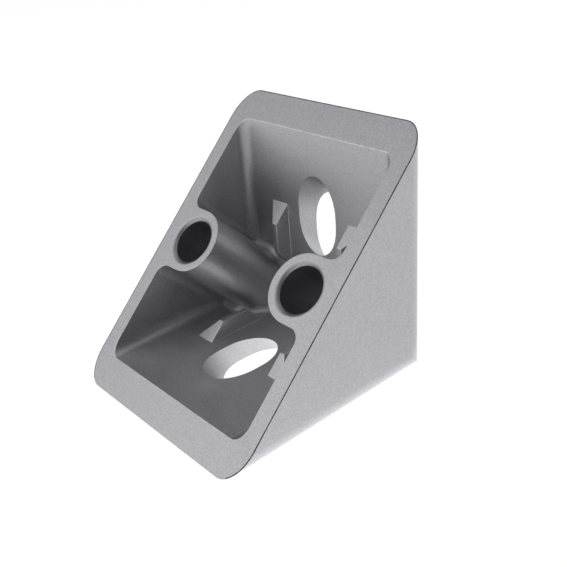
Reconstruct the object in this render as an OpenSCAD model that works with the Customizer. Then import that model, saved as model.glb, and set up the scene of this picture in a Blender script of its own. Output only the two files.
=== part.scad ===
// Corner bracket for slotted framing: one die casting, drawn square to its sloping face.
// Two legs meet at a right angle, two side walls join them, and a pocket opens on the slope.
// X runs across the bracket, the back leg stands at +Y, the base leg lies at z = 0.

/* [Legs] */
// Length of each leg, from the outer corner to its toe
leg_len = 40; // [34:0.5:60]
// Width across both side walls
bracket_w = 40; // [36:0.5:60]
// Thickness of each leg
leg_t = 3.85; // [3:0.05:5]
// Thickness of each side wall
side_t = 2.9; // [2:0.1:3.5]

/* [Rounding] */
// Radius along the outer edges where the side walls turn into the legs
outer_r = 4; // [1:0.25:5]
// Radius along the inner edges of the pocket
inner_r = 2; // [1.5:0.1:3]

/* [Cap posts] */
// Distance between the centres of the two posts
post_pitch = 26; // [24:0.5:28]
// Diameter of each post
post_d = 11; // [10:0.25:12]
// Diameter of the blind bore in each post
bore_d = 7.2; // [5:0.1:8]
// Radius rolled round the mouth of each bore
mouth_r = 0.9; // [0.3:0.1:1]
// Radius of the fillet between a post and its side wall
shoulder_r = 2; // [1.5:0.1:3]
// Radius of the fillet where a post stands on the legs
foot_r = 1; // [0.5:0.1:1.2]

/* [Bolt holes] */
// Distance from the outer corner to the centre of each bolt hole
bolt_reach = 20.3; // [19:0.1:22]
// Width of each hole across the bracket
hole_w = 8.6; // [6:0.1:9]
// How much longer than wide the hole is, seen square to the slope
hole_stretch = 1.15; // [0.2:0.05:2]

/* [Lugs] */
// Clear width between the two lugs beside a bolt head
lug_gap = 14.3; // [12:0.1:15]
// Width of a lug where it leaves the leg
lug_base = 3.8; // [2.5:0.1:4.5]
// Width of a lug along its crest
lug_crest = 1; // [0.6:0.1:2]
// Height of a lug above the leg
lug_h = 2.85; // [1.5:0.05:3.5]
// Distance from the outer corner to the outer end of a lug
lug_reach = 22.65; // [21:0.05:25]

/* [Hidden] */
$fn = 96;
// How far a joined solid sinks into its neighbour
sink = 0.5;
// How far a cutter runs out past the face that it opens
over = 1;
// How deep a fillet's edges lie under the faces that it blends
tuck = 0.02;
// Steps along each arc of the foot fillet: round the post, in the corner, across the fillet
post_steps = 14;
corner_steps = 6;
fillet_steps = 6;

half_len = leg_len / 2;
slope_len = leg_len * sqrt(2);
corner_depth = slope_len / 2;
wall_x = bracket_w / 2 - side_t;
post_x = post_pitch / 2;
post_r = post_d / 2;
bore_r = bore_d / 2;
// The floor of a bore stops level with the inner faces of the legs
bore_depth = (half_len - leg_t) * sqrt(2) - bore_r;
// Height of a hole on the slope that brings it to its reach halfway through the leg
hole_v = (bolt_reach - leg_t / 2) / sqrt(2);
// Depth below the slope at which the lugs start
lug_depth = (leg_len - leg_t - lug_reach) / sqrt(2);

// Frame of the slope: X across, Y up the slope, Z out of it, origin at its middle
module on_slope() {
    translate([0, 0, half_len]) rotate([45, 0, 0]) children();
}

// The same shape on the back leg and, turned over the slope's middle, on the base leg
module on_both_legs() {
    children();
    on_slope() mirror([0, 1, 0]) rotate([-45, 0, 0]) translate([0, 0, -half_len]) children();
}

// The same shape on the right and on the left
module on_both_sides() {
    children();
    mirror([1, 0, 0]) children();
}

// Outline w wide that runs from -l up to 0, with its two corners at 0 rounded
module tub_outline(w, l, r) {
    translate([-w / 2, -l]) square([w, l - r]);
    translate([r - w / 2, -l]) square([w - 2 * r, l]);
    for (side = [-1, 1]) translate([side * (w / 2 - r), -r]) circle(r);
}

// Outline with one rounded corner, at the end of +X and the start of +Y
module corner_outline(l, r) {
    translate([-l, r]) square([l, l - r]);
    translate([-l, 0]) square([l - r, l]);
    translate([-r, r]) circle(r);
}

// Block between the inner or outer faces of the legs and side walls, t in from outside
module tub(w, t, r) {
    intersection() {
        translate([0, half_len - t, t]) linear_extrude(leg_len) tub_outline(w, leg_len, r);
        translate([0, half_len - t, t]) rotate([90, 0, 0])
            linear_extrude(leg_len) mirror([0, 1]) tub_outline(w, leg_len, r);
    }
}

// Everything on the body's side of the sloping face
module under_slope() {
    rotate([90, 0, 90]) linear_extrude(bracket_w, center = true)
        polygon([[-half_len, 0], [half_len, 0], [half_len, leg_len]]);
}

module outer_body() {
    intersection() {
        tub(bracket_w, 0, outer_r);
        under_slope();
    }
}

// The hollow between the legs and the side walls, open at the slope
module pocket() {
    intersection() {
        tub(2 * wall_x, leg_t, inner_r);
        rotate([90, 0, 90]) translate([half_len - leg_t, leg_t])
            linear_extrude(bracket_w, center = true) corner_outline(leg_len, inner_r);
    }
}

// A post seen square to the slope, run out into its side wall with a fillet on each side
module post_outline() {
    shoulder_x = wall_x - shoulder_r;
    shoulder_y = post_r + shoulder_r;
    difference() {
        union() {
            translate([post_x, 0]) circle(post_r);
            translate([post_x, -post_r]) square([wall_x + sink - post_x, post_d]);
            translate([shoulder_x, -shoulder_y]) square([shoulder_r + sink, 2 * shoulder_y]);
        }
        for (side = [-1, 1]) translate([shoulder_x, side * shoulder_y]) circle(shoulder_r);
    }
}

module post() {
    on_slope() translate([0, 0, -corner_depth]) linear_extrude(corner_depth + over) post_outline();
    foot_fillet();
}

// Foot fillet of a post, swept by a ball that rolls along the legs while it touches the post.
// A station holds the ball's centre [x, in from the back face, up from the base face],
// the direction from it to the post and the direction from it to the leg.

// Direction on the slope's frame of a direction given in from the back face and up
function slope_dir(back, up) = [0, (up - back) / sqrt(2), (back + up) / sqrt(2)];

// Point on the slope's frame at x, in from the back face and up from the base face
function slope_point(x, back, up) = [x, (up - back) / sqrt(2), (back + up - leg_len) / sqrt(2)];

// Distance up the slope at which the ball leaves the leg for the rounded inner corner
function corner_v() = (inner_r - foot_r) / sqrt(2);

// Station on the round of the post, at a distance v up the slope
function round_station(v, back, up, leg_dir) =
    let (reach = post_r + foot_r, across = sqrt(reach * reach - v * v))
    [slope_point(post_x - across, back, up), [across / reach, -v / reach, 0], leg_dir];

// Stations on the back leg, from the side wall to the inner corner
function leg_stations() =
    let (
        reach = post_r + foot_r,
        back = leg_t + foot_r,
        last = asin(corner_v() / reach),
        leg_dir = slope_dir(-1, 0)
    )
    concat(
        [[slope_point(wall_x + sink, back, back + reach * sqrt(2)), [0, -1, 0], leg_dir]],
        [
            for (i = [0:post_steps])
                let (a = 90 - (90 - last) * i / post_steps, v = reach * sin(a))
                round_station(v, back, back + v * sqrt(2), leg_dir)
        ]
    );

// Stations along the rounded inner corner, from the back leg down to the slope's middle
function corner_stations() = [
    for (i = [1:corner_steps])
        let (
            a = 45 * i / corner_steps,
            middle = leg_t + inner_r,
            arm = inner_r - foot_r,
            back = middle - arm * cos(a),
            up = middle - arm * sin(a)
        )
        round_station((up - back) / sqrt(2), back, up, slope_dir(-cos(a), -sin(a)))
];

// The same stations turned over onto the base leg, in the order that goes on from them
function turned(stations) = [
    for (i = [len(stations) - 1:-1:0])
        [for (p = stations[i]) [p.x, -p.y, p.z]]
];

// Ring of points round the fillet at a station: the arc, then a point under both faces
function fillet_ring(station) =
    let (
        centre = station[0],
        to_post = station[1],
        to_leg = station[2],
        turn = acos(to_post * to_leg),
        root = (to_post + to_leg) / (1 + to_post * to_leg)
    )
    concat(
        [
            for (i = [0:fillet_steps])
                let (
                    a = turn * i / fillet_steps,
                    edge = i == 0 || i == fillet_steps ? tuck : 0,
                    dir = (sin(turn - a) * to_post + sin(a) * to_leg) / sin(turn)
                )
                centre + (foot_r + edge) * dir
        ],
        [centre + (foot_r + sink / 2) * root]
    );

module foot_fillet() {
    half = concat(leg_stations(), corner_stations());
    rings = [
        for (s = half) fillet_ring(s),
        for (s = turned([for (i = [0:len(half) - 2]) half[i]])) fillet_ring(s)
    ];
    n = len(rings[0]);
    last = len(rings) - 1;
    sides = [
        for (i = [0:last - 1], j = [0:n - 1])
            let (a = i * n + j, b = i * n + (j + 1) % n)
            each [[a, a + n, b + n], [a, b + n, b]]
    ];
    first_cap = [for (j = [0:n - 1]) j];
    last_cap = [for (j = [n - 1:-1:0]) last * n + j];
    on_slope() polyhedron([for (ring = rings) each ring], concat(sides, [first_cap, last_cap]));
}

// A lug beside the bolt head: a ridge along the leg, from its blunt end to the post
module lug() {
    lug_x = lug_gap / 2;
    intersection() {
        translate([0, half_len - leg_t, 0]) linear_extrude(leg_len) polygon([
            [lug_x, sink],
            [lug_x + lug_base, sink],
            [lug_x + lug_base, 0],
            [lug_x + lug_crest, -lug_h],
            [lug_x, -lug_h]
        ]);
        on_slope() translate([0, post_r, -slope_len - lug_depth])
            cube([bracket_w, slope_len, slope_len]);
    }
}

// Cutter of a blind bore with a rolled mouth
module bore_cutter() {
    on_slope() translate([post_x, 0, 0]) {
        translate([0, 0, -bore_depth]) cylinder(h = bore_depth + over, r = bore_r);
        cylinder(h = over, r = bore_r + mouth_r);
        rotate_extrude() difference() {
            translate([0, -mouth_r]) square([bore_r + mouth_r, mouth_r]);
            translate([bore_r + mouth_r, -mouth_r]) circle(mouth_r);
        }
    }
}

// Cutter of a bolt hole, which runs square to the slope and so aslant through the leg
module hole_cutter() {
    on_slope() translate([0, hole_v, -slope_len]) linear_extrude(slope_len) {
        for (end = [-1, 1]) translate([0, end * hole_stretch / 2]) circle(d = hole_w);
        square([hole_w, hole_stretch], center = true);
    }
}

module corner_bracket() {
    color([0.66, 0.66, 0.67]) difference() {
        outer_body();
        difference() {
            pocket();
            on_both_sides() post();
            on_both_sides() on_both_legs() lug();
        }
        on_both_sides() bore_cutter();
        on_both_legs() hole_cutter();
    }
}

corner_bracket();
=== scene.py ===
"""Studio portrait of a corner bracket for slotted framing.

The bracket is one die casting: two legs at a right angle, two side walls, two round posts
with blind bores, four lugs and a slanted bolt hole in each leg. It is carved here from
simple solids in millimetres, its edges are rounded as the die leaves them, and it is
brought to metres when it is finished.
"""

import logging
import math
from collections.abc import Callable
from dataclasses import dataclass
from enum import Enum

import bmesh
import bpy
from mathutils import Matrix, Vector


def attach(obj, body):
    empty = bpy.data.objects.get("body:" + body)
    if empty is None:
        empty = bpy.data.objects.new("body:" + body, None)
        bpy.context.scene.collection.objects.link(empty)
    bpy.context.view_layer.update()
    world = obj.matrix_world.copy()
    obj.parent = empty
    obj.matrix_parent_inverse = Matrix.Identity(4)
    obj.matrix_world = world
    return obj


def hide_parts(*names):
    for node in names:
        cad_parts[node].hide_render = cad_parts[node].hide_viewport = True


log = logging.getLogger("bracket")

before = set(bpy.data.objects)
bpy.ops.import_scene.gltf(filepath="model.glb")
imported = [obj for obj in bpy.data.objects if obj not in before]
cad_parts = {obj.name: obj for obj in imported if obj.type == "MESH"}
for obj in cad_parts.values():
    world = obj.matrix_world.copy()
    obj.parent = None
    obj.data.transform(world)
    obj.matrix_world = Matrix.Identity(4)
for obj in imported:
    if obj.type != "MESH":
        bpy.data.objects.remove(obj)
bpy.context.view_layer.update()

NODE = "corner_bracket"
MM = 0.001
ROOT_2 = math.sqrt(2)
# The sloping face leans back by this angle
LEAN = math.radians(45)
# Two corners closer than this, in millimetres, are the same corner
SAME = 0.002
# A corner closer than this to a cutting plane, in millimetres, lies on it
ON_PLANE = 0.0002
# Two directions whose cosine is larger than this are the same way
PARALLEL = 0.999
# Names of the numbers that the faces carry for the material: the wear of an edge, and how
# much painted shade and light covers a bore's face
WEAR = "edge_wear"
BORE_SHADE_AND_LIGHT = "bore_skin"
WHITE = (1.0, 1.0, 1.0, 1.0)

Colour = tuple[float, float, float]
Triple = tuple[float, float, float]
Input = bpy.types.NodeSocket | float | tuple[float, ...]


class Leg(Enum):
    """A leg of the bracket, with the way that it lies from the slope's middle."""

    BACK = 1
    BASE = -1


class Side(Enum):
    """A side of the bracket, with the way that it lies along X."""

    RIGHT = 1
    LEFT = -1


class Solid:
    """A closed mesh in millimetres that is carved, joined and rounded."""

    def __init__(self, mesh: bmesh.types.BMesh) -> None:
        """Take over a mesh and turn its faces outward.

        Args:
            mesh: A closed mesh, which the solid then owns.
        """
        self.bm = mesh
        bmesh.ops.remove_doubles(self.bm, verts=self.bm.verts, dist=SAME)
        bmesh.ops.recalc_face_normals(self.bm, faces=self.bm.faces)

    @classmethod
    def block(cls, low: Triple, high: Triple) -> "Solid":
        """Make a rectangular block between two corners.

        Args:
            low: Its lowest corner.
            high: Its highest corner.

        Returns:
            The block.
        """
        bm = bmesh.new()
        bmesh.ops.create_cube(bm, size=1)
        low_at, high_at = Vector(low), Vector(high)
        bmesh.ops.scale(bm, vec=high_at - low_at, verts=bm.verts)
        bmesh.ops.translate(bm, vec=(low_at + high_at) / 2, verts=bm.verts)
        return cls(bm)

    @classmethod
    def prism(cls, outline: list[tuple[float, float]], bottom: float, top: float) -> "Solid":
        """Extrude an outline of straight sides along Z.

        Args:
            outline: Its corners in order, as X and Y.
            bottom: The height that it starts at.
            top: The height that it ends at.

        Returns:
            The prism.
        """
        bm = bmesh.new()
        corners = [bm.verts.new((x, y, bottom)) for x, y in outline]
        face = bm.faces.new(corners)
        grown = bmesh.ops.extrude_face_region(bm, geom=[face], use_keep_orig=True)
        lifted = [v for v in grown["geom"] if isinstance(v, bmesh.types.BMVert)]
        bmesh.ops.translate(bm, vec=(0, 0, top - bottom), verts=lifted)
        return cls(bm)

    @classmethod
    def turned(cls, profile: list[tuple[float, float]], steps: int) -> "Solid":
        """Spin a profile once round the Z axis.

        Args:
            profile: Points from the axis round to the axis, as radius and height.
            steps: Steps of a full turn.

        Returns:
            The turned solid.
        """
        bm = bmesh.new()
        points = [bm.verts.new((r, 0, z)) for r, z in profile]
        line = [bm.edges.new(pair) for pair in zip(points, points[1:])]
        bmesh.ops.spin(
            bm, geom=points + line, cent=(0, 0, 0), axis=(0, 0, 1), dvec=(0, 0, 0),
            angle=math.tau, steps=steps, use_merge=True, use_normal_flip=False,
            use_duplicate=False,
        )
        return cls(bm)

    @classmethod
    def swept(cls, rings: list[list[Vector]]) -> "Solid":
        """Bend a sheet into a closed tube through rings of points, and cap its ends.

        Args:
            rings: Rings of equally many points, in order along the tube.

        Returns:
            The tube as a solid.
        """
        bm = bmesh.new()
        along, around = len(rings) - 1, len(rings[0])
        bmesh.ops.create_grid(bm, x_segments=along, y_segments=around, size=1)
        for v in bm.verts:
            i = round((v.co.x + 1) / 2 * along)
            j = round((v.co.y + 1) / 2 * around)
            v.co = rings[i][j % around]
        bmesh.ops.remove_doubles(bm, verts=bm.verts, dist=SAME)
        bmesh.ops.holes_fill(bm, edges=[e for e in bm.edges if e.is_boundary], sides=0)
        return cls(bm)

    def round_along(
        self, direction: Vector, where: Callable[[Vector], bool], radius: float, steps: int
    ) -> "Solid":
        """Round the edges that run one way.

        Args:
            direction: The way that the edges run.
            where: Test of an edge's middle.
            radius: Radius of the rounding.
            steps: Faces across the rounding.

        Returns:
            This solid.
        """
        picked = [
            e for e in self.bm.edges
            if abs((e.verts[0].co - e.verts[1].co).normalized().dot(direction)) > PARALLEL
            and where((e.verts[0].co + e.verts[1].co) / 2)
        ]
        self.bevel(picked, radius, steps)
        return self

    def bevel(
        self, edges: list[bmesh.types.BMEdge], radius: float, steps: int,
        wear: float | None = None, material: int = 0,
    ) -> None:
        """Round some edges.

        Args:
            edges: The edges.
            radius: How far the rounding reaches from the edge.
            steps: Faces across the rounding.
            wear: The wear that the rounding's faces carry, where the mesh has its layer.
            material: The place of the rounding's material on the piece.
        """
        made = bmesh.ops.bevel(
            self.bm, geom=edges, offset=radius, offset_type="OFFSET", segments=steps,
            profile=0.5, affect="EDGES", clamp_overlap=False, material=-1, loop_slide=True,
        )
        for face in made["faces"]:
            face.material_index = material
            if wear is not None:
                face[self.bm.faces.layers.float[WEAR]] = wear
        bmesh.ops.remove_doubles(self.bm, verts=self.bm.verts, dist=SAME)

    def slice(self, point: Vector, outward: Vector) -> "Solid":
        """Cut off what lies beyond a plane, and close the cut.

        Args:
            point: A point of the plane.
            outward: The way that the cut-off part lies.

        Returns:
            This solid.
        """
        cut = bmesh.ops.bisect_plane(
            self.bm, geom=self.bm.verts[:] + self.bm.edges[:] + self.bm.faces[:],
            dist=ON_PLANE, plane_co=point, plane_no=outward, clear_outer=True,
        )
        rim = [e for e in cut["geom_cut"] if isinstance(e, bmesh.types.BMEdge)]
        bmesh.ops.edgenet_fill(self.bm, edges=rim, mat_nr=0, use_smooth=False, sides=0)
        bmesh.ops.recalc_face_normals(self.bm, faces=self.bm.faces)
        return self

    def placed(self, matrix: Matrix) -> "Solid":
        """Copy the solid to another place.

        Args:
            matrix: The move, turn or mirroring.

        Returns:
            The copy, with its faces outward.
        """
        copy = self.bm.copy()
        bmesh.ops.transform(copy, matrix=matrix, verts=copy.verts)
        return Solid(copy)

    def take_away(self, other: "Solid") -> "Solid":
        """Carve another solid out of this one.

        Args:
            other: The other solid, which is left as it is.

        Returns:
            This solid.
        """
        holders = []
        for part in (self, other):
            data = bpy.data.meshes.new("carving")
            part.bm.to_mesh(data)
            holder = bpy.data.objects.new("carving", data)
            bpy.context.scene.collection.objects.link(holder)
            holders.append(holder)
        tool = holders[0].modifiers.new("carve", "BOOLEAN")
        tool.operation = "DIFFERENCE"
        tool.solver = "EXACT"
        tool.object = holders[1]
        carved = holders[0].evaluated_get(bpy.context.evaluated_depsgraph_get())
        self.bm.clear()
        self.bm.from_mesh(carved.to_mesh())
        carved.to_mesh_clear()
        for holder in holders:
            bpy.data.meshes.remove(holder.data)
        bmesh.ops.remove_doubles(self.bm, verts=self.bm.verts, dist=SAME)
        return self


@dataclass(frozen=True)
class Shell:
    """The two legs and two side walls, and the hollow between them.

    Lengths are in millimetres. The legs' outer faces lie at the back and at the floor.
    Blocks and cutters run reach_past beyond the sloping face.
    """

    leg_len: float = 40.0
    width: float = 40.0
    leg_t: float = 3.85
    side_t: float = 2.9
    outer_r: float = 4.0
    inner_r: float = 2.0
    outer_steps: int = 14
    inner_steps: int = 8
    reach_past: float = 6.0

    @property
    def half_len(self) -> float:
        """Give half a leg's length, which is the slope's middle height."""
        return self.leg_len / 2

    @property
    def wall_x(self) -> float:
        """Give the distance from the middle to a side wall's inner face."""
        return self.width / 2 - self.side_t

    @property
    def on_slope(self) -> Matrix:
        """Give the sloping face's frame: X across, Y up the slope, Z out of it."""
        return Matrix.Translation((0, 0, self.half_len)) @ Matrix.Rotation(LEAN, 4, "X")

    def outside(self) -> Solid:
        """Make the block that the bracket is cut from, with its outer edges rounded.

        Returns:
            The block under the sloping face.
        """
        half, half_w = self.half_len, self.width / 2
        past = self.reach_past
        block = Solid.block((-half_w, -half - past, 0), (half_w, half, self.leg_len + past))
        edges = [
            e for e in block.bm.edges
            if self._on_long_edge((e.verts[0].co + e.verts[1].co) / 2)
        ]
        block.bevel(edges, self.outer_r, self.outer_steps)
        return block.slice(self.on_slope.translation, self.on_slope.to_3x3().col[2])

    def _on_long_edge(self, middle: Vector) -> bool:
        """Tell whether an edge of the block lies where a side wall turns into a leg.

        Args:
            middle: The edge's middle.

        Returns:
            Whether it does.
        """
        at_side = abs(abs(middle.x) - self.width / 2) < SAME
        at_back = abs(middle.y - self.half_len) < SAME
        at_floor = abs(middle.z) < SAME
        return at_side and at_back != at_floor

    def hollow(self) -> Solid:
        """Make the hollow between the legs and the side walls, run out past the slope.

        Returns:
            The hollow as a solid, its three inner edges rounded into each other.
        """
        back, floor, past = self.half_len - self.leg_t, self.leg_t, self.reach_past
        hollow = Solid.block(
            (-self.wall_x, -self.half_len - past, floor),
            (self.wall_x, back, self.leg_len + past),
        )
        inner = []
        for e in hollow.bm.edges:
            middle = (e.verts[0].co + e.verts[1].co) / 2
            faces = (
                abs(abs(middle.x) - self.wall_x) < SAME,
                abs(middle.y - back) < SAME,
                abs(middle.z - floor) < SAME,
            )
            if sum(faces) == 2:
                inner.append(e)
        hollow.bevel(inner, self.inner_r, self.inner_steps)
        return hollow


@dataclass(frozen=True)
class CapPosts:
    """The two round posts that carry the cap, with their bores and fillets.

    Lengths are in millimetres and angles in degrees. A joined solid sinks into its
    neighbour by sink, and a fillet's edges lie under the faces that it blends by tuck. A
    mouth is a roll of roll_r through roll_turn, then a cone down to a lip that stands out
    from the bore by lip_out. The bore's painted shade and light is whole below
    skin_from, and on the mouth it starts at unshaded_turn and reaches mouth_skin
    on the cone.
    """

    shell: Shell
    pitch: float = 26.0
    post_d: float = 11.0
    bore_d: float = 7.2
    mouth_r: float = 0.9
    shoulder_r: float = 2.0
    foot_r: float = 1.0
    sink: float = 0.5
    tuck: float = 0.02
    round_steps: int = 32
    shoulder_steps: int = 8
    bore_steps: int = 64
    mouth_steps: int = 8
    roll_r: float = 0.7
    roll_turn: float = 50.0
    lip_out: float = 0.135
    # Painted shade and light in the bores: where it is whole, and how it grows up the mouth
    skin_from: float = 0.5
    mouth_skin: float = 0.56
    unshaded_turn: float = 15.0
    along_leg: int = 16
    in_corner: int = 6
    across_foot: int = 6

    @property
    def post_x(self) -> float:
        """Give the distance from the middle to a post's centre."""
        return self.pitch / 2

    @property
    def post_r(self) -> float:
        """Give a post's radius."""
        return self.post_d / 2

    @property
    def bore_depth(self) -> float:
        """Give a bore's depth, which brings its floor level with the legs' inner faces."""
        return (self.shell.half_len - self.shell.leg_t) * ROOT_2 - self.bore_d / 2

    def post(self) -> Solid:
        """Make the right post, run out into its side wall with a fillet on each side.

        Returns:
            The post.
        """
        near, wall = self.post_x - self.post_r, self.shell.wall_x
        half, shoulder = self.post_r, self.post_r + self.shoulder_r
        outer = wall + self.sink
        outline = [
            (near, -half), (wall, -half), (wall, -shoulder), (outer, -shoulder),
            (outer, shoulder), (wall, shoulder), (wall, half), (near, half),
        ]
        depth = self.shell.leg_len / ROOT_2
        post = Solid.prism(outline, -depth, self.shell.reach_past)
        upright = Vector((0, 0, 1))
        post.round_along(
            upright, lambda p: abs(p.x - wall) < SAME and abs(abs(p.y) - half) < SAME,
            self.shoulder_r, self.shoulder_steps,
        )
        post.round_along(
            upright, lambda p: abs(p.x - near) < SAME, self.post_r, self.round_steps // 2
        )
        return post.placed(self.shell.on_slope)

    def bore(self) -> Solid:
        """Make the cutter of the right bore, with its rolled mouth and a slight draft.

        Returns:
            The cutter.
        """
        radius, past = self.bore_d / 2, self.shell.reach_past
        profile = [(0, past), (radius + self.mouth_r, past)] + self._mouth_profile()
        profile += [(radius, -self.bore_depth), (0, -self.bore_depth)]
        cutter = Solid.turned(profile, self.bore_steps)
        return cutter.placed(self.shell.on_slope @ Matrix.Translation((self.post_x, 0, 0)))

    def _mouth_profile(self) -> list[tuple[float, float]]:
        """Draw a bore's mouth: a roll, then a short cone down to the lip.

        Returns:
            Points from the sloping face down to the bore, as radius and height.
        """
        radius, last = self.bore_d / 2, math.radians(self.roll_turn)
        out, lip = radius + self.mouth_r, radius + self.lip_out
        turns = [last * step / self.mouth_steps for step in range(self.mouth_steps + 1)]
        points = [
            (out - self.roll_r * math.sin(turn), self.roll_r * (math.cos(turn) - 1))
            for turn in turns
        ]
        rolled_r, rolled_z = points[-1]
        return points + [(lip, rolled_z - (rolled_r - lip) * math.tan(last))]

    def foot(self) -> Solid:
        """Roll a ball along the legs round the right post, and make the fillet that it leaves.

        Returns:
            The foot fillet.
        """
        half = self._leg_stations() + self._corner_stations()
        back = [tuple(Vector((p.x, -p.y, p.z)) for p in station) for station in half[-2::-1]]
        rings = [self._ring(*station) for station in half + back]
        return Solid.swept(rings).placed(self.shell.on_slope)

    def _slope_point(self, x: float, back: float, up: float) -> Vector:
        """Place a point at x, in from the back face and up from the base, on the slope."""
        return Vector((x, (up - back) / ROOT_2, (back + up - self.shell.leg_len) / ROOT_2))

    def _round_station(
        self, v: float, back: float, up: float, to_leg: Vector
    ) -> tuple[Vector, Vector, Vector]:
        """Place the ball where it touches the post's round.

        Args:
            v: The ball's height up the slope.
            back: Its distance in from the back face.
            up: Its height above the base face.
            to_leg: The direction from it to the leg.

        Returns:
            Its centre, the direction to the post and the direction to the leg.
        """
        reach = self.post_r + self.foot_r
        across = math.sqrt(reach * reach - v * v)
        to_post = Vector((across / reach, -v / reach, 0))
        return self._slope_point(self.post_x - across, back, up), to_post, to_leg

    def _leg_stations(self) -> list[tuple[Vector, Vector, Vector]]:
        """Place the ball along the back leg, from the side wall to the inner corner.

        Returns:
            The stations.
        """
        reach, back = self.post_r + self.foot_r, self.shell.leg_t + self.foot_r
        corner_v = (self.shell.inner_r - self.foot_r) / ROOT_2
        first, last = math.pi / 2, math.asin(corner_v / reach)
        to_leg = Vector((0, 1, -1)) / ROOT_2
        start = self._slope_point(self.shell.wall_x + self.sink, back, back + reach * ROOT_2)
        stations = [(start, Vector((0, -1, 0)), to_leg)]
        for step in range(self.along_leg + 1):
            v = reach * math.sin(first + (last - first) * step / self.along_leg)
            stations.append(self._round_station(v, back, back + v * ROOT_2, to_leg))
        return stations

    def _corner_stations(self) -> list[tuple[Vector, Vector, Vector]]:
        """Place the ball along the rounded inner corner, down to the slope's middle.

        Returns:
            The stations.
        """
        middle = self.shell.leg_t + self.shell.inner_r
        arm = self.shell.inner_r - self.foot_r
        stations = []
        for step in range(1, self.in_corner + 1):
            turn = LEAN * step / self.in_corner
            cos, sin = math.cos(turn), math.sin(turn)
            back, up = middle - arm * cos, middle - arm * sin
            to_leg = Vector((0, (cos - sin) / ROOT_2, -(cos + sin) / ROOT_2))
            stations.append(self._round_station((up - back) / ROOT_2, back, up, to_leg))
        return stations

    def _ring(self, centre: Vector, to_post: Vector, to_leg: Vector) -> list[Vector]:
        """Draw the fillet's outline round the ball at one station.

        Args:
            centre: The ball's centre.
            to_post: The direction from it to the post.
            to_leg: The direction from it to the leg.

        Returns:
            Points along the arc, and one under both faces.
        """
        turn = math.acos(to_post.dot(to_leg))
        ring = []
        for step in range(self.across_foot + 1):
            part = turn * step / self.across_foot
            along = math.sin(turn - part) * to_post + math.sin(part) * to_leg
            under = self.tuck if step in (0, self.across_foot) else 0
            ring.append(centre + along * (self.foot_r + under) / math.sin(turn))
        root = (to_post + to_leg) / (1 + to_post.dot(to_leg))
        ring.append(centre + root * (self.foot_r + self.sink / 2))
        return ring


@dataclass(frozen=True)
class Lugs:
    """The four ridges that keep a bolt head from turning. Lengths are in millimetres."""

    shell: Shell
    posts: CapPosts
    gap: float = 14.3
    base: float = 3.8
    crest: float = 1.0
    height: float = 2.85
    reach: float = 22.65

    def lug(self) -> Solid:
        """Make the lug at the right of the back leg.

        Returns:
            The lug.
        """
        near, face = self.gap / 2, self.shell.half_len - self.shell.leg_t
        outline = [
            (near, face + self.posts.sink), (near + self.base, face + self.posts.sink),
            (near + self.base, face), (near + self.crest, face - self.height),
            (near, face - self.height),
        ]
        ridge = Solid.prism(outline, 0, self.shell.leg_len)
        on_slope = self.shell.on_slope
        up, out = on_slope.to_3x3().col[1], on_slope.to_3x3().col[2]
        depth = (self.shell.leg_len - self.shell.leg_t - self.reach) / ROOT_2
        ridge.slice(on_slope @ Vector((0, self.posts.post_r, 0)), -up)
        return ridge.slice(on_slope @ Vector((0, 0, -depth)), out)


@dataclass(frozen=True)
class BoltHoles:
    """The slanted hole through each leg, drawn square to the slope, in millimetres."""

    shell: Shell
    reach: float = 20.3
    width: float = 8.6
    stretch: float = 1.15
    end_steps: int = 28

    def hole(self) -> Solid:
        """Make the cutter of the back leg's hole.

        Returns:
            The cutter.
        """
        rise = (self.reach - self.shell.leg_t / 2) / ROOT_2
        half_w, half_l = self.width / 2, (self.width + self.stretch) / 2
        depth = self.shell.leg_len * ROOT_2
        cutter = Solid.block((-half_w, rise - half_l, -depth), (half_w, rise + half_l, 0))
        cutter.round_along(Vector((0, 0, 1)), lambda p: True, half_w, self.end_steps // 2)
        return cutter.placed(self.shell.on_slope)


@dataclass(frozen=True)
class Speckle:
    """A noise on a surface.

    It has the size of its spots in metres, the number and the strength of the finer noises
    that are added, and the range of its values that counts.
    """

    size: float
    detail: float
    roughness: float
    counted: tuple[float, float]


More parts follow.
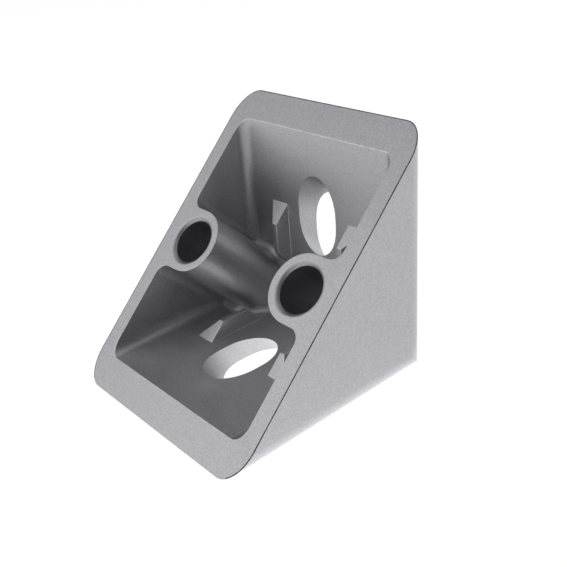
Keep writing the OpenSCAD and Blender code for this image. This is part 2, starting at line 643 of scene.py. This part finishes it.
class NodeBench:
    """A short way to lay and join the nodes of one shader."""

    def __init__(self, tree: bpy.types.NodeTree) -> None:
        """Clear a node tree to work in."""
        self.tree = tree
        self.tree.nodes.clear()

    def add(
        self, kind: str, settings: dict[str, str] | None = None, **inputs: Input
    ) -> bpy.types.Node:
        """Lay a node.

        Args:
            kind: The node's type, without its leading words.
            settings: Its own properties.
            inputs: A number, colour or output socket for each input, by its name in lower
                case with underscores, or by its place after the letter i.

        Returns:
            The node.
        """
        node = self.tree.nodes.new("ShaderNode" + kind)
        for name, value in (settings or {}).items():
            setattr(node, name, value)
        for name, value in inputs.items():
            if name[0] == "i" and name[1:].isdigit():
                socket = node.inputs[int(name[1:])]
            else:
                socket = node.inputs[name.replace("_", " ").title().replace("Ior", "IOR")]
            if isinstance(value, bpy.types.NodeSocket):
                self.tree.links.new(value, socket)
            else:
                socket.default_value = value
        return node

    def maths(
        self, operation: str, first: Input, second: Input = 0.0
    ) -> bpy.types.NodeSocket:
        """Work out a sum from one or two numbers or sockets, and give its socket."""
        return self.add("Math", {"operation": operation}, i0=first, i1=second).outputs[0]

    def spread(
        self, value: Input, low: float, high: float, to_low: float, to_high: float
    ) -> bpy.types.NodeSocket:
        """Bring a number from one range smoothly to another, and give its new socket."""
        node = self.add(
            "MapRange", {"interpolation_type": "SMOOTHSTEP"}, value=value, from_min=low,
            from_max=high, to_min=to_low, to_max=to_high,
        )
        return node.outputs["Result"]

    def noise(self, at: bpy.types.NodeSocket, speckle: Speckle) -> bpy.types.NodeSocket:
        """Lay a noise over some coordinates, and give its value's socket."""
        return self.add(
            "TexNoise", vector=at, scale=1 / speckle.size, detail=speckle.detail,
            roughness=speckle.roughness,
        ).outputs[0]

    def blend(self, share: Input, first: Input, second: Input) -> bpy.types.NodeSocket:
        """Mix a share of the second colour into the first, and give the mixed socket."""
        ends = [(*end, 1) if isinstance(end, tuple) else end for end in (first, second)]
        return self.add(
            "Mix", {"data_type": "RGBA"}, i0=share, i6=ends[0], i7=ends[1]
        ).outputs[2]

    def along(self, vector: Input, way: Triple) -> bpy.types.NodeSocket:
        """Measure how far a vector goes one way, and give the distance's socket."""
        node = self.add("VectorMath", {"operation": "DOT_PRODUCT"}, i0=vector, i1=way)
        return node.outputs["Value"]

    def face_number(self, name: str) -> bpy.types.NodeSocket:
        """Read a number that the faces carry, and give its socket."""
        return self.add("Attribute", {"attribute_name": name}).outputs["Fac"]


@dataclass(frozen=True)
class CastAluminium:
    """Die-cast aluminium, finely blasted and matte, a little brighter where edges rub.

    Sizes are in metres. The blasted grain and wide blotches tell pale metal from dark, and
    low swells lie under the grain and break up the wear of the edges. The bores carry
    painted shade and light: their colour turns from the dark skin_top near the
    mouth to the paler skin_deep over the depths in skin_reach, which evens
    out the bores' real shade.
    """

    name: str = "cast_aluminium"
    slot: str = "cast_aluminium"
    pale: Colour = (0.622, 0.622, 0.64)
    dark: Colour = (0.51, 0.51, 0.526)
    worn: Colour = (0.74, 0.74, 0.758)
    # Painted bore tones: darker than the metal near the mouth as painted shade, paler deep
    # down as painted light
    skin_top: Colour = (0.4, 0.4, 0.412)
    skin_deep: Colour = (0.7, 0.7, 0.725)
    skin_reach: tuple[float, float] = (0.0006, 0.0085)
    slope_out: Triple = (0.0, -1 / ROOT_2, 1 / ROOT_2)
    slope_off: float = Shell.leg_len / 2 * MM / ROOT_2
    metallic: float = 1.0
    roughness: float = 0.5
    film: float = 1.0
    film_roughness: float = 0.27
    film_ior: float = 1.5
    grain: Speckle = Speckle(0.0003, 4.0, 0.7, (0.38, 0.62))
    grain_tone: float = 0.8
    grain_depth: float = 0.00005
    blotch: Speckle = Speckle(0.004, 3.0, 0.5, (0.3, 0.7))
    blotch_tone: float = 0.2
    blotch_roughness: float = 0.03
    swell: Speckle = Speckle(0.0011, 2.0, 0.5, (0.35, 0.62))
    swell_depth: float = 0.00001
    least_rub: float = 0.25
    rub_roughness: float = -0.1

    def build(self) -> bpy.types.Material:
        """Make the material.

        Returns:
            The material.
        """
        material = bpy.data.materials.new(self.name)
        material.use_nodes = True
        bench = NodeBench(material.node_tree)
        at = bench.add("TexCoord").outputs["Object"]
        grain = bench.noise(at, self.grain)
        blotch = bench.noise(at, self.blotch)
        swell = bench.noise(at, self.swell)

        broken = bench.spread(swell, *self.swell.counted, self.least_rub, 1.0)
        rubbed = bench.maths("MULTIPLY", bench.face_number(WEAR), broken)
        tone = bench.maths(
            "ADD", bench.spread(grain, *self.grain.counted, 0.0, self.grain_tone),
            bench.spread(blotch, *self.blotch.counted, 0.0, self.blotch_tone),
        )
        metal = bench.blend(rubbed, bench.blend(tone, self.dark, self.pale), self.worn)
        # Painted shade and light in the bores, by the faces' number and their depth under the
        # slope
        depth = bench.maths("SUBTRACT", self.slope_off, bench.along(at, self.slope_out))
        deep = bench.spread(depth, *self.skin_reach, 0.0, 1.0)
        skin = bench.blend(deep, self.skin_top, self.skin_deep)
        colour = bench.blend(bench.face_number(BORE_SHADE_AND_LIGHT), metal, skin)

        rough = bench.maths(
            "ADD", bench.spread(
                blotch, *self.blotch.counted, self.roughness - self.blotch_roughness,
                self.roughness + self.blotch_roughness,
            ),
            bench.maths("MULTIPLY", rubbed, self.rub_roughness),
        )
        swollen = bench.add(
            "Bump", height=swell, strength=1.0, distance=self.swell_depth
        ).outputs["Normal"]
        blasted = bench.add(
            "Bump", height=grain, strength=1.0, distance=self.grain_depth, normal=swollen
        ).outputs["Normal"]
        shader = bench.add(
            "BsdfPrincipled", base_color=colour, metallic=self.metallic, roughness=rough,
            normal=blasted, coat_weight=self.film, coat_roughness=self.film_roughness,
            coat_ior=self.film_ior,
        )
        bench.add("OutputMaterial", surface=shader.outputs[0])
        return material


@dataclass(frozen=True)
class PaintedRimShade:
    """Painted shade: a dark, dull line round the sloping face, where its rim is shaded.

    Sizes are in metres.
    """

    name: str = "painted_rim_shade"
    light: Colour = (0.16, 0.16, 0.165)
    dark: Colour = (0.05, 0.05, 0.052)
    roughness: float = 0.8
    specular: float = 0.15
    patches: Speckle = Speckle(0.0012, 2.0, 0.5, (0.35, 0.65))
    patch_depth: float = 0.00001

    def build(self) -> bpy.types.Material:
        """Make the material.

        Returns:
            The material.
        """
        material = bpy.data.materials.new(self.name)
        material.use_nodes = True
        bench = NodeBench(material.node_tree)
        at = bench.add("TexCoord").outputs["Object"]
        patches = bench.noise(at, self.patches)
        lit = bench.spread(patches, *self.patches.counted, 0.0, 1.0)
        colour = bench.blend(lit, self.dark, self.light)
        uneven = bench.add(
            "Bump", height=patches, strength=1.0, distance=self.patch_depth
        ).outputs["Normal"]
        shader = bench.add(
            "BsdfPrincipled", base_color=colour, metallic=0.0, roughness=self.roughness,
            normal=uneven,
        )
        shader.inputs["Specular IOR Level"].default_value = self.specular
        bench.add("OutputMaterial", surface=shader.outputs[0])
        return material


class EdgeKind(Enum):
    """A family of edges that the die leaves with its own small rounding."""

    RIM = "round the sloping face"
    MOUTH = "round the hollow's mouth"
    HEEL = "where the two legs meet"
    LUG = "along the lugs"
    HOLE = "round the bolt holes"


class Surface(Enum):
    """A surface of the casting, with the place of its material on the piece."""

    CAST = 0
    PAINTED_RIM_SHADE = 1


@dataclass(frozen=True)
class Rounding:
    """How one family of edges is left: its radius in millimetres, its wear and its surface.

    Wear runs from 0, as cast, to 1, rubbed bright.
    """

    radius: float
    wear: float
    surface: Surface = Surface.CAST


@dataclass(frozen=True)
class Roundings:
    """The rounding of every family of edges, and the painted rim shade beside the rim.

    The line runs onto the sloping face by line_width, in millimetres. It ends where the
    outer rounding has turned by line_turn, short of the base leg's straight toe, and it
    keeps only faces whose normal's share along the slope's is at least line_out. Edges
    that turn by less than sharp aren't rounded, and those that turn by less than shaded
    are shaded smooth.
    """

    # The rim's rounding takes the painted shade: a dark line that stands for the edge's shade
    rim: Rounding = Rounding(0.06, 0.0, Surface.PAINTED_RIM_SHADE)
    mouth: Rounding = Rounding(0.07, 1.0)
    heel: Rounding = Rounding(0.15, 1.0)
    lug: Rounding = Rounding(0.12, 1.0)
    hole: Rounding = Rounding(0.03, 0.0)
    line_width: float = 0.13
    line_turn: float = math.radians(62)
    line_out: float = 0.5
    steps: int = 3
    sharp: float = math.radians(28)
    shaded: float = math.radians(35)

    def of(self, kind: EdgeKind) -> Rounding:
        """Give the rounding of a family of edges."""
        return getattr(self, kind.name.lower())


@dataclass(frozen=True)
class Casting:
    """The whole bracket, carved from its parts' solids."""

    shell: Shell
    posts: CapPosts
    lugs: Lugs
    holes: BoltHoles
    roundings: Roundings

    def everywhere(self, solid: Solid, sides: bool, legs: bool) -> list[Solid]:
        """Repeat a solid on both sides, both legs or both.

        Args:
            solid: The solid at the right of the back leg.
            sides: Whether it is repeated on the left.
            legs: Whether it is repeated on the base leg.

        Returns:
            The solid and its copies.
        """
        on_slope = self.shell.on_slope
        turned_over = on_slope @ Matrix.Diagonal((1, -1, 1, 1)) @ on_slope.inverted()
        copies = []
        for side in Side if sides else [Side.RIGHT]:
            for leg in Leg if legs else [Leg.BACK]:
                matrix = Matrix.Diagonal((side.value, 1, 1, 1))
                if leg is Leg.BASE:
                    matrix = turned_over @ matrix
                copies.append(solid.placed(matrix))
        return copies

    def carved(self) -> Solid:
        """Carve the bracket with all its edges still sharp.

        Returns:
            The bracket, in millimetres.
        """
        hollow = self.shell.hollow()
        for kept in (self.posts.post(), self.posts.foot()):
            for solid in self.everywhere(kept, sides=True, legs=False):
                hollow.take_away(solid)
        for solid in self.everywhere(self.lugs.lug(), sides=True, legs=True):
            hollow.take_away(solid)
        body = self.shell.outside().take_away(hollow)
        for solid in self.everywhere(self.posts.bore(), sides=True, legs=False):
            body.take_away(solid)
        for solid in self.everywhere(self.holes.hole(), sides=False, legs=True):
            body.take_away(solid)
        return body

    def edge_kind(self, edge: bmesh.types.BMEdge) -> EdgeKind | None:
        """Tell which family a sharp edge belongs to.

        Args:
            edge: An edge of the carved bracket.

        Returns:
            Its family, or nothing where it stays as it is.
        """
        if len(edge.link_faces) != 2 or edge.calc_face_angle(0) < self.roundings.sharp:
            return None
        if any(f.material_index == Surface.PAINTED_RIM_SHADE.value for f in edge.link_faces):
            return None
        shell, post_r = self.shell, self.posts.post_r
        to_slope = shell.on_slope.inverted()
        ends = [to_slope @ v.co for v in edge.verts]
        middle = (ends[0] + ends[1]) / 2
        across, along = abs(middle.x), abs(middle.y)
        mouth_v = (shell.leg_len - 2 * shell.leg_t) / ROOT_2
        if all(abs(p.z) < SAME for p in ends):
            in_mouth = across < shell.wall_x + SAME and along < mouth_v + SAME
            return EdgeKind.MOUTH if in_mouth else EdgeKind.RIM
        corners = [v.co for v in edge.verts]
        if all(abs(p.z) < SAME and abs(p.y - shell.half_len) < SAME for p in corners):
            return EdgeKind.HEEL
        if across < self.holes.width / 2 + SAME and along > post_r:
            return EdgeKind.HOLE
        from_lug = across - self.lugs.gap / 2
        if -SAME < from_lug < self.lugs.base + SAME and along > post_r - SAME:
            return EdgeKind.LUG
        return None

    def _paint_bore_shade(self, body: Solid, layer: bmesh.types.BMLayerItem) -> None:
        """Mark the bores' faces for painted shade and light, thinning out up the mouths.

        Args:
            body: The carved bracket.
            layer: The number on each face that takes the mark.
        """
        posts, to_slope = self.posts, self.shell.on_slope.inverted()
        for face in body.bm.faces:
            corners = [to_slope @ v.co for v in face.verts]
            wide = max(math.hypot(abs(p.x) - posts.post_x, p.y) for p in corners)
            if wide > posts.bore_d / 2 + posts.mouth_r + SAME:
                continue
            if all(p.z < -posts.skin_from for p in corners):
                face[layer] = 1.0
                continue
            facing = to_slope.to_3x3() @ face.normal
            turn = math.degrees(math.atan2(math.hypot(facing.x, facing.y), facing.z))
            reached = (turn - posts.unshaded_turn) / (posts.roll_turn - posts.unshaded_turn)
            face[layer] = posts.mouth_skin * min(max(reached, 0.0), 1.0)

    def rounded(self, body: Solid) -> Solid:
        """Round the carved bracket's edges, one family after another.

        Args:
            body: The carved bracket.

        Returns:
            The same bracket.
        """
        floats = body.bm.faces.layers.float
        floats.new(WEAR)
        self._paint_bore_shade(body, floats.new(BORE_SHADE_AND_LIGHT))
        for kind in EdgeKind:
            picked = [e for e in body.bm.edges if self.edge_kind(e) is kind]
            log.info("edges %s: %d", kind.value, len(picked))
            rounding = self.roundings.of(kind)
            body.bevel(
                picked, rounding.radius, self.roundings.steps, rounding.wear,
                rounding.surface.value,
            )
        self._widen_painted_rim_shade(body)
        return body

    def _widen_painted_rim_shade(self, body: Solid) -> None:
        """Run the painted rim shade a little way onto the sloping face, and keep it off the
        sides.

        Along the base leg's toe the line is as narrow as the rim's rounding.

        Args:
            body: The rounded bracket.
        """
        line = Surface.PAINTED_RIM_SHADE.value
        to_slope = self.shell.on_slope.inverted()
        slope = [
            f for f in body.bm.faces if all(abs((to_slope @ v.co).z) < SAME for v in f.verts)
        ]
        strips = bmesh.ops.inset_region(
            body.bm, faces=slope, thickness=self.roundings.line_width, use_boundary=True,
            use_even_offset=True,
        )["faces"]
        short_of_toe = 2 * self.shell.outer_r * (1 - math.sin(self.roundings.line_turn))
        toe_v = (self.shell.leg_len - short_of_toe) / ROOT_2
        beside_rim = [
            f for f in strips
            if any(other.material_index == line for e in f.edges for other in e.link_faces)
            and (to_slope @ f.calc_center_median()).y > -toe_v
        ]
        # Strips beside the rim take the painted rim shade as well
        for face in beside_rim:
            face.material_index = line
        out = self.shell.on_slope.to_3x3().col[2]
        body.bm.normal_update()
        for face in body.bm.faces:
            if face.material_index == line and face.normal.dot(out) < self.roundings.line_out:
                face.material_index = Surface.CAST.value

    def finished(self, cast: CastAluminium, rim_shade: PaintedRimShade) -> bpy.types.Object:
        """Carve, round and dress the casting, and put it in the CAD node's place.

        Args:
            cast: The material of its surfaces.
            rim_shade: The material of the painted shade round its rim.

        Returns:
            The finished piece.
        """
        body = self.rounded(self.carved())
        bmesh.ops.scale(body.bm, vec=(MM, MM, MM), verts=body.bm.verts)
        for face in body.bm.faces:
            face.smooth = True
        data = bpy.data.meshes.new("bracket_casting")
        body.bm.to_mesh(data)
        data.set_sharp_from_angle(angle=self.roundings.shaded)
        for material in (cast.build(), rim_shade.build()):
            data.materials.append(material)
        piece = bpy.data.objects.new("bracket_casting", data)
        bpy.context.scene.collection.objects.link(piece)
        piece.modifiers.new("even_shading", "WEIGHTED_NORMAL").keep_sharp = True
        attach(piece, "root")
        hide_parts(NODE)
        return piece


@dataclass(frozen=True)
class Portrait:
    """The camera that stands where the photographer's stood.

    Points and the nearest distance that it sees are in millimetres, in the bracket's frame.
    """

    eye: Triple = (87.856, -64.421, 71.815)
    aim: Triple = (5.225, 3.659, 16.684)
    roll: float = math.radians(-4.713)
    lens: float = 49.99
    sensor: float = 36.0
    nearest: float = 5.0

    def build(self) -> bpy.types.Object:
        """Set up the camera.

        Returns:
            The camera.
        """
        data = bpy.data.cameras.new("camera")
        data.lens, data.sensor_width = self.lens, self.sensor
        data.clip_start = self.nearest * MM
        camera = bpy.data.objects.new("camera", data)
        bpy.context.scene.collection.objects.link(camera)
        eye, aim = Vector(self.eye) * MM, Vector(self.aim) * MM
        facing = (aim - eye).to_track_quat("-Z", "Y").to_matrix().to_4x4()
        camera.matrix_world = (
            Matrix.Translation(eye) @ facing @ Matrix.Rotation(self.roll, 4, "Z")
        )
        bpy.context.scene.camera = camera
        return camera


@dataclass(frozen=True)
class Lamp:
    """One soft round lamp, aimed at the bracket.

    Lengths are in metres, angles in degrees and the power in watts.
    """

    name: str
    azimuth: float
    elevation: float
    distance: float
    size: float
    power: float

    def build(self, aim: Vector) -> bpy.types.Object:
        """Hang the lamp.

        Args:
            aim: The point that it shines at.

        Returns:
            The lamp.
        """
        data = bpy.data.lights.new(self.name, "AREA")
        data.shape, data.size, data.energy = "DISK", self.size, self.power
        lamp = bpy.data.objects.new(self.name, data)
        lamp.visible_camera = False
        bpy.context.scene.collection.objects.link(lamp)
        turn, rise = math.radians(self.azimuth), math.radians(self.elevation)
        way = Vector((
            math.sin(turn) * math.cos(rise), -math.cos(turn) * math.cos(rise), math.sin(rise)
        ))
        facing = way.to_track_quat("Z", "Y").to_matrix().to_4x4()
        lamp.matrix_world = Matrix.Translation(aim + way * self.distance) @ facing
        return lamp


@dataclass(frozen=True)
class Studio:
    """The pale floor, the white backdrop and the lamps.

    The backdrop stands on the far side of the bracket from the camera, and the room on the
    near side and overhead is dim. Lengths are in metres, and angles in degrees, as azimuth
    from the front. The floor glows by floor_glow for the shares floor_seen and floor_mirrored
    of what is seen and mirrored, and is plain paper for the rest. Close to the bracket it
    glows by up to under_glow more in reflections only, a painted reflection that brightens
    the bracket's lower edges. The backdrop fades upward from backdrop_foot to
    backdrop_top and sideways from far_edge to near_edge, as shares of a unit direction.
    """

    lamps: tuple[Lamp, ...] = (
        Lamp("softbox", -20.0, 48.0, 0.6, 0.84, 0.52),
        Lamp("softbox_low", -25.0, 30.0, 0.6, 0.6, 0.52),
        Lamp("left_fill", -60.0, 32.0, 0.6, 0.6, 0.45),
        Lamp("right_top", 50.0, 65.0, 0.6, 0.5, 0.34),
        Lamp("rear_top", 220.0, 70.0, 0.6, 0.5, 0.35),
        Lamp("rear_low", 180.0, 12.0, 0.6, 0.4, 0.35),
        Lamp("rear_right", 150.0, 20.0, 0.6, 0.5, 0.36),
    )
    aim: Triple = (0.0, 0.0, 0.018)
    floor_size: float = 4.0
    floor_drop: float = 0.00003
    floor_pale: float = 0.85
    floor_glow: float = 1.1
    floor_seen: float = 0.885
    floor_mirrored: float = 0.74
    under_glow: float = 0.42
    under_reach: float = 0.005
    footprint: float = Shell.width / 2 * MM
    room: float = 0.01
    backdrop: float = 0.1
    near_side: float = 82.0
    near_edge: float = 0.9
    far_edge: float = 0.42
    backdrop_foot: float = 0.17
    backdrop_top: float = 0.71

    def build(self) -> None:
        """Set up everything round the bracket."""
        self._floor()
        self._world()
        for lamp in self.lamps:
            lamp.build(Vector(self.aim))
        bpy.context.scene.view_settings.view_transform = "Standard"

    def _floor(self) -> None:
        """Lay a pale floor that looks white and keeps the bracket's soft shadow."""
        bm = bmesh.new()
        bmesh.ops.create_grid(bm, x_segments=1, y_segments=1, size=self.floor_size / 2)
        bmesh.ops.translate(bm, vec=(0, 0, -self.floor_drop), verts=bm.verts)
        data = bpy.data.meshes.new("floor")
        bm.to_mesh(data)
        bm.free()
        floor = bpy.data.objects.new("floor", data)
        bpy.context.scene.collection.objects.link(floor)
        material = bpy.data.materials.new("floor_paper")
        material.use_nodes = True
        bench = NodeBench(material.node_tree)
        path = bench.add("LightPath").outputs
        seen = bench.maths("MAXIMUM", path["Is Camera Ray"], path["Is Transmission Ray"])
        seen = bench.maths("MULTIPLY", seen, self.floor_seen)
        mirrored = bench.maths("MULTIPLY", path["Is Glossy Ray"], self.floor_mirrored)
        paper = bench.add("BsdfDiffuse", color=(*[self.floor_pale] * 3, 1)).outputs[0]
        # Painted reflection: near the bracket the floor glows more, in reflections only, which
        # brightens the bracket's lower edges
        near = bench.spread(
            self._past_bracket(bench), 0.0, self.under_reach, self.under_glow, 0.0
        )
        reflection_lift = bench.maths("MULTIPLY", near, path["Is Glossy Ray"])
        glow = bench.add(
            "Emission", strength=bench.maths("ADD", reflection_lift, self.floor_glow)
        ).outputs[0]
        share = bench.maths("MAXIMUM", seen, mirrored)
        mixed = bench.add("MixShader", i0=share, i1=paper, i2=glow)
        bench.add("OutputMaterial", surface=mixed.outputs[0])
        data.materials.append(material)

    def _past_bracket(self, bench: NodeBench) -> bpy.types.NodeSocket:
        """Measure how far a point of the floor lies outside the bracket's square footprint.

        Args:
            bench: The floor's node bench.

        Returns:
            The distance in metres, which is negative under the bracket.
        """
        at = bench.add("TexCoord").outputs["Object"]
        spot = bench.add("SeparateXYZ", vector=at).outputs
        across = bench.maths("ABSOLUTE", spot["X"])
        along = bench.maths("ABSOLUTE", spot["Y"])
        return bench.maths("SUBTRACT", bench.maths("MAXIMUM", across, along), self.footprint)

    def _world(self) -> None:
        """Stand a white backdrop behind the bracket, in a dim room."""
        world = bpy.data.worlds.new("studio")
        bpy.context.scene.world = world
        world.use_nodes = True
        bench = NodeBench(world.node_tree)
        way = bench.add("TexCoord").outputs["Generated"]
        height = bench.add("SeparateXYZ", vector=way).outputs["Z"]
        low = bench.spread(height, self.backdrop_foot, self.backdrop_top, 1.0, 0.0)
        turn = math.radians(self.near_side)
        toward = bench.along(way, (math.sin(turn), -math.cos(turn), 0.0))
        far = bench.spread(toward, self.far_edge, self.near_edge, 1.0, 0.0)
        path = bench.add("LightPath").outputs
        looked = bench.maths("MAXIMUM", path["Is Camera Ray"], path["Is Transmission Ray"])
        stood = bench.maths("MULTIPLY", bench.maths("MULTIPLY", low, far), self.backdrop)
        gloss = bench.maths("MULTIPLY", path["Is Glossy Ray"], stood)
        room = bench.add("Background", color=WHITE, strength=self.room).outputs[0]
        white = bench.add("Background", color=WHITE, strength=1.0).outputs[0]
        shown = bench.maths("MAXIMUM", looked, gloss)
        mixed = bench.add("MixShader", i0=shown, i1=room, i2=white)
        bench.add("OutputWorld", surface=mixed.outputs[0])


def main() -> None:
    """Build the bracket, its studio and its camera, in that order."""
    logging.basicConfig(level=logging.INFO, format="%(name)s: %(message)s")
    shell = Shell()
    posts = CapPosts(shell)
    casting = Casting(shell, posts, Lugs(shell, posts), BoltHoles(shell), Roundings())
    piece = casting.finished(CastAluminium(), PaintedRimShade())
    log.info("%s: %d faces", piece.name, len(piece.data.polygons))
    Studio().build()
    Portrait().build()


if __name__ == "__main__":
    main()
